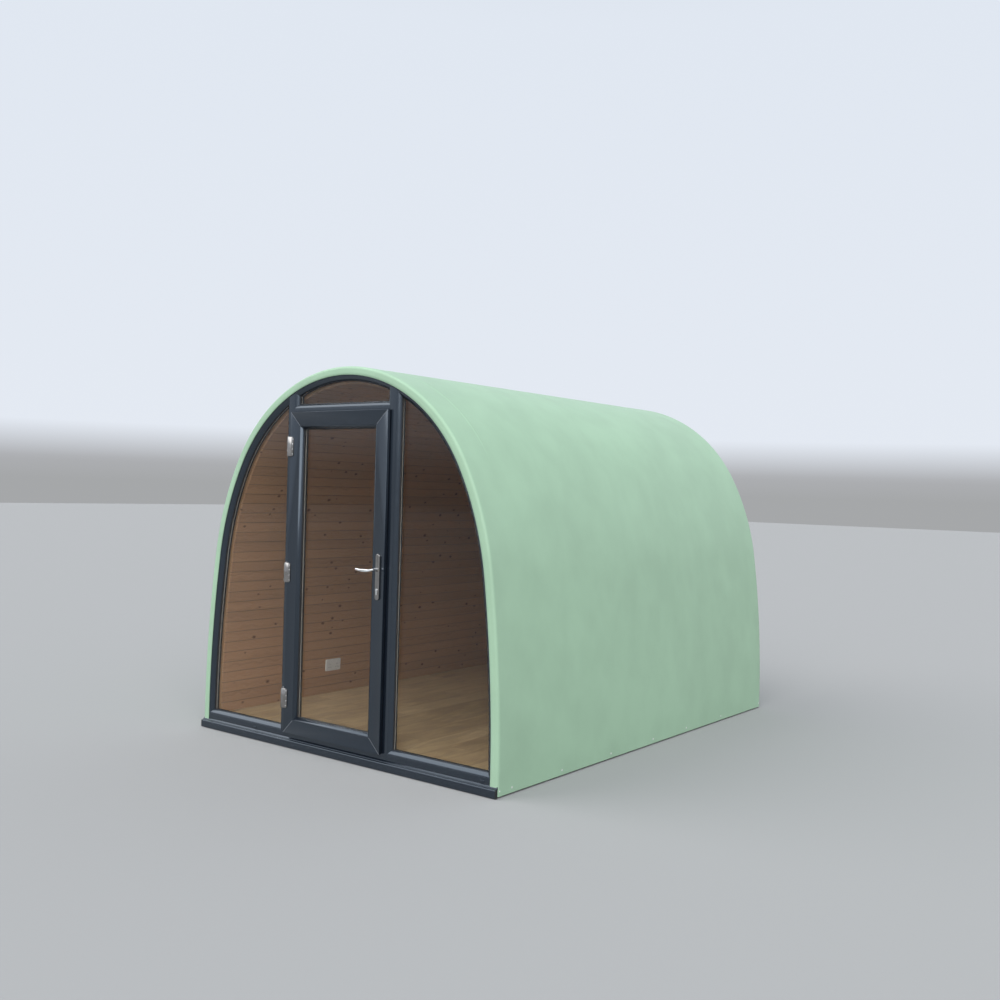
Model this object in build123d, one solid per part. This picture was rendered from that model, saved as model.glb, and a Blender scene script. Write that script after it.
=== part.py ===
from build123d import *
import os
from math import cos, degrees, radians, sin, sqrt, tan

os.makedirs("parts", exist_ok=True)

# Shell outline: an arch of a long-radius side, a shoulder and a round crown each side
half_width = 1250
length = 3384
shell_lift = 10
foot_height = 76
side_radius = 7767
side_angle = 8.10
shoulder_radius = 1806
shoulder_angle = 28.65
crown_split_angle = 60

# Layers of the shell, measured inwards from the outside
skin = 5
rim_width = 52
rim_round = 17
rim_flat_turn = 22.5
core_inner = 88
lining_inner = 100
clear = 1

# Floor and base
bearer_height = 45
bearer_width = 70
bearer_margin = 95
floor_panel_top = 92
floor_top = 100

# Plastic frame of the glazed front
frame_face = 5
frame_outer = 6
frame_depth = 70
frame_inner = 58
bead_width = 26
bead_depth = 20
lip = 3
rebate = 18
face_width = 48
opening_left = -428
opening_right = 389
stop_width = 20
frame_bottom = 63
rail_face = 37
over_door = 274.8
transom_face = 29

# Sealed glass units and the bars and beads round them
pane = 4
unit = 28
glass_play = 3
bar_width = 8

# Door leaf
leaf_front = -20
leaf_depth = 70
leaf_overlap = 6
leaf_gap = 8
leaf_face = 87
leaf_bead = 20
leaf_bead_depth = 17
leaf_rebate = 16
lip_depth = 20

# Cill
cill_nose = -18
cill_nose_top = 48
cill_bottom = 4
cap = 4
cill_ridge = 4

# Hinges, handle and lock
hinge_height = 127
hinge_margin = 216
knuckle_share = 0.4
hinge_play = 0.3
pin_offset = 4
flag_gap = 12
flag_width = 34
flag_thickness = 6
flag_round = 10
arm_thickness = 8
web = 6
knuckle_radius = 9
pin_radius = 4
run = 0.05
plate_height = 270
plate_width = 32
plate_thickness = 10
plate_middle = 1122
lever_level = 1167
lock_level = 1047
lever_length = 138
lever_width = 15
lever_thickness = 12
lever_reach = 40
lever_dip = 9
lever_return = 8
boss_radius = 9
boss_depth = 6
edge_round = 3
spindle = 8
barrel_radius = 8.5
barrel_leg = 10
barrel_drop = 24
barrel_stand = 3
keep_thickness = 3
keep_width = 24
keep_start = 20
keep_below = 60
keep_above = 160

# Double socket on the left wall
socket_back = 1085
socket_level = 310
socket_width = 146
socket_height = 86
socket_depth = 10
socket_play = 0.15
socket_edge = 2

# Arc centres follow from the outline
front = -length / 2
spring = shell_lift + foot_height
u1 = Vector(cos(radians(side_angle)), 0, sin(radians(side_angle)))
u2 = Vector(cos(radians(shoulder_angle)), 0, sin(radians(shoulder_angle)))
c1 = Vector(half_width - side_radius, 0, spring)
c2 = c1 + u1 * (side_radius - shoulder_radius)
crown_radius = (c2.X + u2.X * shoulder_radius) / u2.X
c3 = c2 + u2 * (shoulder_radius - crown_radius)
side = (c1, side_radius)
shoulder = (c2, shoulder_radius)
crown = (c3, crown_radius)
transom_bottom = c3.Z + crown_radius - over_door
bearer_step = (half_width - bearer_margin - bearer_width / 2) / 2


def save(name, shape):
    export_step(shape, f"parts/{name}.step")


def box(x0, x1, y0, y1, z0, z1):
    return Pos((x0 + x1) / 2, (y0 + y1) / 2, (z0 + z1) / 2) * Box(x1 - x0, y1 - y0, z1 - z0)


def both(shape):
    return shape + mirror(shape, about=Plane.YZ)


def polygon(*points):
    return make_face(Polyline(*points, close=True))


# An arc of the outline moved inwards by depth, from one angle to another
def arc_edge(arc, depth, start, end):
    centre, radius = arc
    spots = []
    for angle in (start, (start + end) / 2, end):
        turn = Vector(cos(radians(angle)), sin(radians(angle)))
        spots.append(Vector(centre.X, centre.Z) + turn * (radius - depth))
    return ThreePointArc(*spots)


# The whole arch moved inwards by depth and closed at a level, as a flat face
def arch_face(depth, base):
    wide = half_width - depth
    low = min(base, shell_lift)
    right = arc_edge(side, depth, 0, side_angle)
    right_up = arc_edge(shoulder, depth, side_angle, shoulder_angle)
    top = arc_edge(crown, depth, shoulder_angle, 180 - shoulder_angle)
    left_up = mirror(right_up, about=Plane.YZ)
    left = mirror(right, about=Plane.YZ)
    foot_right = Line((wide, low), (wide, spring))
    foot_left = Line((-wide, low), (-wide, spring))
    bottom = Line((-wide, low), (wide, low))
    whole = make_face([bottom, foot_right, right, right_up, top, left_up, left, foot_left])
    keep = Pos(0, base + 2 * half_width) * Rectangle(4 * half_width, 4 * half_width)
    return whole & keep


# A face drawn in x and z, run from one depth behind the rim to another
def prism(face, y0, y1):
    return extrude(Plane.XZ.offset(-(front + y1)) * face, y1 - y0)


# A profile drawn as depth inwards and distance behind the rim, turned along an arc
def along(profile, arc, start, end):
    centre, radius = arc
    turn = Vector(cos(radians(start)), 0, sin(radians(start)))
    across = Vector(sin(radians(start)), 0, -cos(radians(start)))
    plane = Plane(origin=centre + turn * radius, x_dir=turn * -1, z_dir=across)
    axis = Axis((centre.X, 0, centre.Z), (0, -1, 0))
    return revolve(plane * Pos(0, front) * profile, axis, end - start)


def foot(profile, base):
    plane = Plane(origin=(half_width, 0, base), x_dir=(-1, 0, 0), z_dir=(0, 0, -1))
    return extrude(plane * Pos(0, front) * profile, base - spring)


def arch(profile, base):
    half = foot(profile, base) + along(profile, side, 0, side_angle)
    half = half + along(profile, shoulder, side_angle, shoulder_angle)
    half = half + along(profile, crown, shoulder_angle, 90)
    return both(half)


def strip(d0, d1, y0, y1):
    return polygon((d0, y0), (d1, y0), (d1, y1), (d0, y1))


# Base: timber bearers, insulated floor panel and laminate
back_face = length - skin
core_back = back_face - skin
wall_end = core_back - core_inner + skin
lining_end = wall_end - lining_inner + core_inner
frame_back = frame_face + frame_depth
base_end = length - rim_round
bearers = Part()
for step in (-2, -1, 0, 1, 2):
    x = step * bearer_step
    bearer = box(x - bearer_width / 2, x + bearer_width / 2, front + frame_back,
                 front + base_end, 0, bearer_height)
    bearers = bearers + bearer
save("base_bearers", bearers)
inside = half_width - skin - clear
save("floor_panel", box(-inside, inside, front + frame_back, front + base_end,
                        bearer_height, floor_panel_top))

# Insulated wall and roof panels, each between two radial cuts
core = strip(skin, core_inner, frame_back, wall_end)
panel = along(core, side, 0, side_angle)
above = box(-half_width, half_width, front, -front, floor_panel_top, 3 * half_width)
panel = panel & above
save("wall_right", panel)
save("wall_left", mirror(panel, about=Plane.YZ))
haunch = along(core, shoulder, side_angle, shoulder_angle)
save("haunch_right", haunch)
save("haunch_left", mirror(haunch, about=Plane.YZ))
roof_side = along(core, crown, shoulder_angle, crown_split_angle)
save("roof_side_right", roof_side)
save("roof_side_left", mirror(roof_side, about=Plane.YZ))
roof_top = along(core, crown, crown_split_angle, 90)
save("roof_top_right", roof_top)
save("roof_top_left", mirror(roof_top, about=Plane.YZ))
back_wall = prism(arch_face(skin, floor_panel_top), wall_end, base_end)
back_wall = back_wall + prism(arch_face(rim_round + clear, floor_panel_top), base_end, core_back)
save("back_wall", back_wall)

# Moulded outer skin turned in at both ends, its rim rounded in three flats that touch one circle
rim_cut = rim_round * (2 - sqrt(2))
rim_ease = rim_round * (1 - tan(radians(rim_flat_turn / 2))) - rim_cut
outer = strip(0, rim_width, 0, length)
outer = chamfer(outer.vertices().sort_by(Axis.X)[0:2], rim_cut)
outer = chamfer(outer.vertices().sort_by(Axis.X)[0:4], rim_ease)
inner = strip(skin, rim_width + skin, skin, length - skin)
inner = chamfer(inner.vertices().sort_by(Axis.X)[0:2], rim_round - skin)
outer_skin = arch(outer - inner, shell_lift)
save("outer_skin", outer_skin)
save("back_skin", prism(arch_face(rim_round + clear, shell_lift), core_back, back_face))

# Timber boards inside and the floor finish between them
lining = strip(core_inner, lining_inner, frame_back, lining_end)
side_board = along(lining, side, 0, side_angle) + along(lining, shoulder, side_angle, shoulder_angle)
side_board = side_board & above
save("lining_right", side_board)
save("lining_left", mirror(side_board, about=Plane.YZ))
save("ceiling_lining", along(lining, crown, shoulder_angle, 180 - shoulder_angle))
save("back_lining", prism(arch_face(core_inner, floor_panel_top), lining_end, wall_end))
floor_side = half_width - lining_inner - 2 * clear
save("floor_finish", box(-floor_side, floor_side, front + frame_back, front + lining_end,
                         floor_panel_top, floor_top))

# Arched frame member with its outer bead, and the rebate the glass sits in
seat = frame_inner + bead_width - rebate
bead_y = frame_face + bead_depth
lip_y = bead_y + lip


# Profile points from a front face's edge over the outer bead into the glass rebate
def glaze(edge):
    sight = edge + bead_width
    return [(edge, frame_face), (sight, bead_y), (sight, lip_y), (sight - rebate, lip_y),
            (sight - rebate, frame_back)]


member = polygon((rim_round + clear, frame_face), *glaze(frame_inner), (frame_outer, frame_back),
                 (frame_outer, rim_round))
arch_frame = arch(member, frame_bottom)
save("arch_frame", arch_frame)

# Bottom rail: glazing bead under the side lights, threshold under the door
rail_top = frame_bottom + rail_face
rail_plane = Plane(origin=(half_width, front, 0), x_dir=(0, 0, 1), z_dir=(-1, 0, 0))
rail = polygon((frame_bottom, frame_face), *glaze(rail_top), (frame_bottom, frame_back))
bottom_rail = extrude(rail_plane * rail, 2 * half_width)
doorway = box(opening_left, opening_right, front, front + 2 * frame_back,
              frame_bottom, transom_bottom)
stop_face = frame_back - stop_width
step_face = polygon((frame_bottom, frame_face), (rail_top, frame_face), (rail_top, stop_face),
                    (rail_top + stop_width, stop_face), (rail_top + stop_width, frame_back),
                    (frame_bottom, frame_back))
threshold = extrude(rail_plane * step_face, 2 * half_width) & doorway
bottom_rail = (bottom_rail - doorway) + threshold
within = prism(arch_face(frame_inner, frame_bottom), frame_face, frame_back)
bottom_rail = (bottom_rail & within) - arch_frame
save("bottom_rail", bottom_rail)

# Mullions: a door rebate below the transom and a second glazing bead above it
transom_top = transom_bottom + transom_face
glazed_side = glaze(face_width)
other_side = [(face_width - across, y) for across, y in reversed(glazed_side)]
post_low = polygon((0, frame_face), *glazed_side, (-stop_width, frame_back),
                   (-stop_width, stop_face), (0, stop_face))
post_high = polygon(*glazed_side, *other_side)
post_plane = Plane(origin=(0, front, frame_bottom), x_dir=(1, 0, 0), z_dir=(0, 0, 1))
joint_level = transom_bottom + transom_face / 2
post = extrude(post_plane * post_low, joint_level - frame_bottom)
post = post + extrude(post_plane.offset(joint_level - frame_bottom) * post_high, half_width)
post_left = Pos(opening_left, 0, 0) * mirror(post, about=Plane.YZ)
mullion_left = (post_left & within) - arch_frame - bottom_rail
mullion_right = ((Pos(opening_right, 0, 0) * post) & within) - arch_frame - bottom_rail
save("mullion_left", mullion_left)
save("mullion_right", mullion_right)

# Transom over the door
head = polygon((transom_bottom, frame_face), *glaze(transom_top),
               (transom_bottom - stop_width, frame_back), (transom_bottom - stop_width, stop_face),
               (transom_bottom, stop_face))
between = box(opening_left, opening_right, front, front + frame_back, 0, 3 * half_width)
transom = (extrude(rail_plane * head, 2 * half_width) & between) - mullion_left - mullion_right
save("transom", transom)

# Cill under the front with its end caps
cill_plane = Plane(origin=(cap - half_width, front, 0), x_dir=(0, 1, 0), z_dir=(1, 0, 0))
ridge_top = cill_nose_top + 2 * cill_ridge
cill_face = polygon((cill_nose, cill_bottom), (cill_nose, cill_nose_top),
                    (-cill_ridge, ridge_top - cill_ridge), (-cill_ridge, ridge_top),
                    (frame_face, frame_bottom), (frame_back, frame_bottom),
                    (frame_back, bearer_height), (skin, bearer_height), (skin, cill_bottom))
cill = extrude(cill_plane * cill_face, 2 * (half_width - cap))
save("cill", cill - outer_skin)
end_cap = box(half_width - cap, half_width, front + cill_nose, front, cill_bottom, cill_nose_top)
save("cill_end_caps", both(end_cap))

# Glazed lights: outlines measured in from the rebates
seat_in = bead_width - rebate
left_edge = opening_left - face_width - seat_in
right_edge = opening_right + face_width + seat_in
fan_left = opening_left + seat_in
fan_right = opening_right - seat_in
far = 2 * half_width


def light(name, inset):
    low = rail_top + seat_in + inset
    if name == "left":
        limit = polygon((-far, low), (left_edge - inset, low), (left_edge - inset, far), (-far, far))
    if name == "right":
        limit = polygon((right_edge + inset, low), (far, low), (far, far), (right_edge + inset, far))
    if name == "fan":
        low = transom_top + seat_in + inset
        limit = polygon((fan_left + inset, low), (fan_right - inset, low),
                        (fan_right - inset, far), (fan_left + inset, far))
    return arch_face(seat + inset, low) & limit


bars = Part()
beads = Part()
for name, node in (("left", "glass_left"), ("right", "glass_right"), ("fan", "fanlight_glass")):
    sheet = light(name, glass_play)
    front_pane = prism(sheet, lip_y, lip_y + pane)
    back_pane = prism(sheet, lip_y + unit - pane, lip_y + unit)
    save(node, front_pane + back_pane)
    ring = light(name, 2 * glass_play) - light(name, 2 * glass_play + bar_width)
    bars = bars + prism(ring, lip_y + pane, lip_y + unit - pane)
    beads = beads + prism(light(name, 0) - light(name, rebate), lip_y + unit, frame_back)
save("spacer_bars", bars)
save("inner_beads", beads)

# Door leaf: four mitred profiles with a lip over the frame and a bead to the glass
leaf_left = opening_left - leaf_overlap
leaf_right = opening_right + leaf_overlap
leaf_base = rail_top - leaf_overlap
leaf_top = transom_bottom + leaf_overlap
leaf_back = leaf_front + leaf_depth
leaf_bead_end = leaf_face + leaf_bead
leaf_seat = leaf_bead_end - leaf_rebate
leaf_bead_y = leaf_front + leaf_bead_depth
leaf_lip_y = leaf_bead_y + lip
body_start = leaf_overlap + leaf_gap
hinge_levels = (leaf_base + hinge_margin, (leaf_base + leaf_top) / 2, leaf_top - hinge_margin)
lip_back = leaf_front + lip_depth
sash = polygon((0, leaf_front), (leaf_face, leaf_front), (leaf_bead_end, leaf_bead_y),
               (leaf_bead_end, leaf_lip_y), (leaf_seat, leaf_lip_y), (leaf_seat, leaf_back),
               (body_start, leaf_back), (body_start, lip_back), (0, lip_back))


def sash_bar(span):
    plane = Plane(origin=(span, front, 0), x_dir=(0, 0, 1), z_dir=(-1, 0, 0))
    bar = extrude(plane * sash, span)
    mitre = polygon((0, 0), (span, 0), (span - leaf_bead_end, leaf_bead_end),
                    (leaf_bead_end, leaf_bead_end))
    return bar & prism(mitre, leaf_front - clear, leaf_back + clear)


leaf_width = leaf_right - leaf_left
leaf_height = leaf_top - leaf_base
handle_x = leaf_right - leaf_face / 2
bar_low = Pos(leaf_left, 0, leaf_base) * sash_bar(leaf_width)
bar_high = Pos(leaf_right, 0, leaf_top) * Rot(0, 180, 0) * sash_bar(leaf_width)
bar_hinge = Pos(leaf_left, 0, leaf_top) * Rot(0, 90, 0) * sash_bar(leaf_height)
bar_lock = Pos(leaf_right, 0, leaf_base) * Rot(0, -90, 0) * sash_bar(leaf_height)


# A round bar along y, from one distance behind the rim to another
def rod(x, z, radius, y0, y1):
    return prism(Pos(x, z) * Circle(radius), y0, y1)


# Lock barrel: a round top with a narrow leg under it
cylinder_shape = Circle(barrel_radius) + Pos(0, -barrel_drop) * Circle(barrel_leg / 2)
cylinder_shape = cylinder_shape + Pos(0, -barrel_drop / 2) * Rectangle(barrel_leg, barrel_drop)
cylinder_out = leaf_front - plate_thickness - barrel_stand
cylinder_in = leaf_back + plate_thickness + barrel_stand
barrel = prism(Pos(handle_x, lock_level) * cylinder_shape, cylinder_out, cylinder_in)
spindle_hole = rod(handle_x, lever_level, boss_radius + run, leaf_front - plate_thickness,
                   leaf_back + plate_thickness)
save("door_bottom_rail", bar_low)
save("door_top_rail", bar_high)
save("hinge_stile", bar_hinge)
save("lock_stile", bar_lock - barrel - spindle_hole)
save("lock_cylinder", barrel)

# Door glass, its spacer bar and inner beads
glass_left = leaf_left + leaf_seat
glass_right = leaf_right - leaf_seat
glass_low = leaf_base + leaf_seat
glass_high = leaf_top - leaf_seat


def door_light(inset):
    return polygon((glass_left + inset, glass_low + inset), (glass_right - inset, glass_low + inset),
                   (glass_right - inset, glass_high - inset), (glass_left + inset, glass_high - inset))


sheet = door_light(glass_play)
front_pane = prism(sheet, leaf_lip_y, leaf_lip_y + pane)
back_pane = prism(sheet, leaf_lip_y + unit - pane, leaf_lip_y + unit)
save("door_glass", front_pane + back_pane)
ring = door_light(2 * glass_play) - door_light(2 * glass_play + bar_width)
save("door_spacer", prism(ring, leaf_lip_y + pane, leaf_lip_y + unit - pane))
save("door_beads", prism(door_light(0) - door_light(leaf_rebate), leaf_lip_y + unit, leaf_back))

# Flag hinges: a knuckle on the leaf turns on a pin held in the frame half
pin_x = leaf_left - pin_offset
pin_y = leaf_front - knuckle_radius - 2 * clear
flag_x = pin_x + flag_gap
leaf_halves = Part()
frame_halves = Part()
for level in hinge_levels:
    low = level - hinge_height / 2
    high = level + hinge_height / 2
    middle = low + hinge_height * knuckle_share
    on_pin = Pos(pin_x, front + pin_y, 0)
    upper = high - middle - 2 * hinge_play
    knuckle = on_pin * Pos(0, 0, (middle + high) / 2) * Cylinder(knuckle_radius, upper)
    arm = box(pin_x, flag_x, front + leaf_front - arm_thickness, front + leaf_front,
              middle + hinge_play, high - hinge_play)
    flag = box(flag_x, flag_x + flag_width, front + leaf_front - flag_thickness,
               front + leaf_front, low, high)
    corners = flag.edges().filter_by(Axis.Y).sort_by(Axis.X)[2:4]
    flag = fillet(corners, flag_round)
    bore = on_pin * Pos(0, 0, level) * Cylinder(pin_radius + run, hinge_height)
    leaf_halves = leaf_halves + (knuckle + arm + flag - bore)
    lower = middle - low - 2 * hinge_play
    root = on_pin * Pos(0, 0, (low + middle) / 2) * Cylinder(knuckle_radius, lower)
    pin = on_pin * Pos(0, 0, level) * Cylinder(pin_radius, hinge_height - 2 * clear)
    tongue = box(pin_x - knuckle_radius, pin_x - knuckle_radius + web, front + pin_y,
                 front + frame_face, low + hinge_play, middle - hinge_play)
    plate = box(pin_x - flag_width, pin_x - knuckle_radius + web, front, front + frame_face,
                low, high)
    frame_halves = frame_halves + (root + pin + tongue + plate)
save("leaf_hinges", leaf_halves)
save("frame_hinges", frame_halves)

# Long back plates either side of the lock stile
slot = SlotCenterToCenter(plate_height - plate_width, plate_width)
plate_shape = Pos(handle_x, plate_middle) * Rot(0, 0, 90) * slot
outside_plate = prism(plate_shape, leaf_front - plate_thickness, leaf_front)
outside_plate = chamfer(outside_plate.faces().sort_by(Axis.Y)[0].edges(), edge_round)
inside_plate = prism(plate_shape, leaf_back, leaf_back + plate_thickness)
inside_plate = chamfer(inside_plate.faces().sort_by(Axis.Y)[-1].edges(), edge_round)
plates = outside_plate - barrel - spindle_hole + (inside_plate - barrel - spindle_hole)
save("handle_plates", plates)


# Lever: a boss out of the plate and an arm that dips and bends back to the door
def lever(face, outwards):
    tip_x = handle_x + boss_radius - lever_length
    middle_x = (handle_x + tip_x) / 2
    root_y = face + outwards * lever_reach
    tip_y = root_y - outwards * lever_return
    seen = trace(ThreePointArc((handle_x + boss_radius, lever_level),
                               (middle_x, lever_level - lever_dip), (tip_x, lever_level)), lever_width)
    above_y = ThreePointArc((handle_x + boss_radius, root_y), (middle_x, root_y), (tip_x, tip_y))
    plan = Plane(origin=(0, front, lever_level)) * trace(above_y, lever_thickness)
    deep = extrude(plan, 2 * lever_width, both=True)
    arm = prism(seen, -lever_length, lever_length + leaf_depth) & deep
    start = face - outwards * boss_depth
    boss = rod(handle_x, lever_level, boss_radius, min(start, root_y), max(start, root_y))
    return boss + arm


outside_face = leaf_front - plate_thickness
inside_face = leaf_back + plate_thickness
bar = box(handle_x - spindle / 2, handle_x + spindle / 2, front + outside_face + boss_depth,
          front + inside_face - boss_depth, lever_level - spindle / 2, lever_level + spindle / 2)
save("lever_outside", lever(outside_face, -1))
save("lever_inside", lever(inside_face, 1) + bar)

# Keep on the lock side of the frame and the double socket
keep = box(opening_right - keep_thickness, opening_right, front + keep_start,
           front + keep_start + keep_width, lock_level - keep_below, lock_level + keep_above)
save("lock_keep", keep)
tilt = degrees((socket_level - spring) / side_radius)
turn = Vector(cos(radians(tilt)), 0, sin(radians(tilt)))
spot = c1 + turn * (side_radius - lining_inner - socket_depth / 2 - socket_play)
socket = Box(socket_depth, socket_width, socket_height)
socket = chamfer(socket.faces().sort_by(Axis.X)[0].edges(), socket_edge)
socket = Pos(spot.X, front + socket_back, spot.Z) * Rot(0, -tilt, 0) * socket
save("double_socket", mirror(socket, about=Plane.YZ))
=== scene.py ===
import bmesh
import bpy
import numpy as np
from mathutils import Matrix


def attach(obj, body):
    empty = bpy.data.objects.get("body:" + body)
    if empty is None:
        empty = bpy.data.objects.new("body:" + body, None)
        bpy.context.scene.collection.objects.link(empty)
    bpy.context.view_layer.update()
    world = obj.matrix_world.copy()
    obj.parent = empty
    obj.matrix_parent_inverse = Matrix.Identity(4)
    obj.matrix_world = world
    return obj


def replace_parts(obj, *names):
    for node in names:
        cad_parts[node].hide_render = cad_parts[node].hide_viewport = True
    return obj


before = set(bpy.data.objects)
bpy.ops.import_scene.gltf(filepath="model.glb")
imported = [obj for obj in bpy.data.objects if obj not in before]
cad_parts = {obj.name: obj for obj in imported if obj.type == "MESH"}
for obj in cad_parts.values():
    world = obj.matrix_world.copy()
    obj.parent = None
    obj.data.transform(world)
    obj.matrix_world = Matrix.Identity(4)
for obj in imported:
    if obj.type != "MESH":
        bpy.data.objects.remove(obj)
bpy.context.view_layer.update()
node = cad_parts

# Outer shell. The real one is a hand-laid laminate about 5 mm thick with a mint green gelcoat, moulded in one piece
# with its ends turned in, and lapped by a second layer near each end. It drops over the wall panels and is screwed
# along its foot.
half_width, length, shell_lift, spring = 1250.0, 3384.0, 10.0, 86.0
front = -length / 2
side_radius, side_angle = 7767.0, np.radians(8.10)
shoulder_radius, shoulder_angle = 1806.0, np.radians(28.65)
skin, rim_width, rim_round, lip_flat = 5.0, 52.0, 17.0, 36.0


def heading(turn):
    """Unit vectors (cosine, sine) at an angle, or at each of many."""
    return np.stack([np.cos(turn), np.sin(turn)], -1)


side_end, shoulder_end = heading(side_angle), heading(shoulder_angle)
side_centre = np.array([half_width - side_radius, spring])
shoulder_centre = side_centre + side_end * (side_radius - shoulder_radius)
crown_radius = (shoulder_centre[0] + shoulder_end[0] * shoulder_radius) / shoulder_end[0]
crown_centre = shoulder_centre + shoulder_end * (shoulder_radius - crown_radius)
crown_top = crown_centre[1] + crown_radius


def arch_line(base, spacing):
    """Points (x, z) and inward normals along the outside of the arch, from the right foot over the crown to the
    left foot: a straight foot, then arcs of the side, shoulder and crown cut into equal turns, then the same
    points mirrored in x."""
    level = np.linspace(base, spring, 3)[:-1]
    points = [np.stack([np.full_like(level, half_width), level], 1)]
    normals = [np.tile([-1.0, 0.0], (len(level), 1))]
    for centre, radius, start, end in ((side_centre, side_radius, 0.0, side_angle),
                                       (shoulder_centre, shoulder_radius, side_angle, shoulder_angle),
                                       (crown_centre, crown_radius, shoulder_angle, np.pi / 2)):
        count = max(3, int(round(radius * (end - start) / spacing)))
        out = heading(start + (end - start) * np.arange(count) / count)
        points.append(centre + radius * out)
        normals.append(-out)
    points, normals = np.concatenate(points), np.concatenate(normals)
    flip = np.array([-1.0, 1.0])
    points = np.concatenate([points, [[0.0, crown_top]], points[::-1] * flip])
    normals = np.concatenate([normals, [[0.0, -1.0]], normals[::-1] * flip])
    return points, normals


def run_along(points):
    """The distance from the first point to each point of a line, along the line."""
    return np.concatenate([[0.0], np.cumsum(np.linalg.norm(np.diff(points, axis=0), axis=1))])


def carried(points, normals, depth, behind):
    """A profile carried along the arch: spot (i, j) is path point i moved along its inward normal by depth j,
    at the distance behind the rim j."""
    depth, behind = np.broadcast_arrays(depth, behind)
    flat = points[:, None, :] + normals[:, None, :] * np.atleast_2d(depth)[..., None]
    y = np.broadcast_to(front + np.atleast_2d(behind), flat.shape[:2])
    return np.stack([flat[..., 0], y, flat[..., 1]], -1)


def ring_faces(rings):
    """Quads between neighbours in an array of rings of points, going round each ring."""
    rows, columns = rings.shape[:2]
    i, j = np.arange(rows - 1)[:, None] * columns, np.arange(columns)[None, :]
    k = (j + 1) % columns
    return np.stack([i + j, i + columns + j, i + columns + k, i + k], -1).reshape(-1, 4)


def gathered(solids):
    """The points and faces of several solids. Each is an array of rings, closed by one face over each end."""
    spots, faces, used = [], [], 0
    for rings in solids:
        rows, columns = rings.shape[:2]
        ends = np.arange(columns) + np.array([[0], [(rows - 1) * columns]])
        spots.append(rings.reshape(-1, 3))
        faces += (ring_faces(rings) + used).tolist() + (ends + used).tolist()
        used += rows * columns
    return np.concatenate(spots), faces


def piece(name, solids, body, stuff, faces=None, uv=None, sharp=35.0):
    """A mesh from solids in millimetres, closed unless it is given faces of its own, turned outwards and kept hard
    at edges over the sharp angle. It rides on a body and takes a material."""
    spots, closed_faces = gathered(solids)
    mesh = bpy.data.meshes.new(name)
    mesh.from_pydata((spots * 0.001).tolist(), [], faces or closed_faces)
    work = bmesh.new()
    work.from_mesh(mesh)
    bmesh.ops.recalc_face_normals(work, faces=work.faces)
    work.to_mesh(mesh)
    work.free()
    mesh.polygons.foreach_set("use_smooth", np.ones(len(mesh.polygons), bool))
    mesh.set_sharp_from_angle(angle=np.radians(sharp))
    if uv is not None:
        corner = np.zeros(len(mesh.loops), int)
        mesh.loops.foreach_get("vertex_index", corner)
        layer = mesh.uv_layers.new(name="boards")
        layer.data.foreach_set("uv", (np.reshape(uv, (-1, 2)) * 0.001)[corner].ravel())
    mesh.materials.append(stuff)
    made = bpy.data.objects.new(name, mesh)
    bpy.context.scene.collection.objects.link(made)
    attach(made, body)
    return made


def dress(names, stuff):
    """Gives a material to solids of the frame that show as they are."""
    for name in names.split():
        node[name].data.materials.clear()
        node[name].data.materials.append(stuff)


def join(tree, pair, made, socket):
    """Joins a pattern, which is a (node, output) pair, to a socket of a node."""
    tree.links.new(pair[0].outputs[pair[1]], made.inputs[socket])


def add(tree, kind, values=(), feeds=(), **settings):
    """One shader node: values fill its sockets, feeds join patterns to them, settings are its own options."""
    made = tree.nodes.new("ShaderNode" + kind)
    for key, value in settings.items():
        setattr(made, key, value)
    for key, value in dict(values).items():
        made.inputs[key].default_value = value
    for key, pair in dict(feeds).items():
        join(tree, pair, made, key)
    return made


def maths(tree, operation, first, second=None):
    """A pattern from one step of arithmetic on a pattern and, for most steps, a second pattern or a number."""
    joined = isinstance(second, tuple)
    values = {} if joined or second is None else {1: second}
    return add(tree, "Math", values, {0: first, 1: second} if joined else {0: first}, operation=operation), "Value"


def finish(name, colour, rough, metal=0.0, shine=0.5):
    """A new material with one main shader: its colour, roughness, metal and shine."""
    stuff = bpy.data.materials.new(name)
    stuff.use_nodes = True
    tree = stuff.node_tree
    shader = tree.nodes["Principled BSDF"]
    shader.inputs["Base Color"].default_value = (*colour, 1.0)
    shader.inputs["Roughness"].default_value = rough
    shader.inputs["Metallic"].default_value = metal
    shader.inputs["Specular IOR Level"].default_value = shine
    return stuff, tree, shader


def clouds(tree, scale, stretch=(1.0, 1.0, 1.0), detail=3.0, source=None, distortion=0.0):
    """Soft noise over the piece's own place, with so many clouds a metre, drawn out along an axis where its
    stretch is small."""
    source = source or (add(tree, "TexCoord"), "Object")
    placed = add(tree, "Mapping", {"Scale": stretch}, {"Vector": source})
    return add(tree, "TexNoise", {"Scale": scale, "Detail": detail, "Distortion": distortion},
               {"Vector": (placed, "Vector")}), "Fac"


def shades(tree, factor, stops):
    """A colour ramp on a pattern, given as (place, colour) stops."""
    ramp = add(tree, "ValToRGB", {}, {"Fac": factor})
    band = ramp.color_ramp
    while len(band.elements) < len(stops):
        band.elements.new(0.5)
    for stop, (place, colour) in zip(band.elements, stops):
        stop.position = place
        stop.color = (*colour, 1.0)
    return ramp, "Color"


def tints(colour, dark, light, start=0.3, end=0.7):
    """Two stops of a ramp: the colour times dark at start, and times light at end."""
    return (start, np.multiply(colour, dark)), (end, np.multiply(colour, light))


def spread(tree, factor, low, high, start=0.3, end=0.7):
    """A pattern from start to end turned into a number from low to high."""
    return add(tree, "MapRange", {"From Min": start, "From Max": end, "To Min": low, "To Max": high},
               {"Value": factor}), "Result"


def coated(tree, shader, colour, rough=None):
    """Joins patterns to the main shader's colour and roughness."""
    join(tree, colour, shader, "Base Color")
    if rough:
        join(tree, rough, shader, "Roughness")


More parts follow.
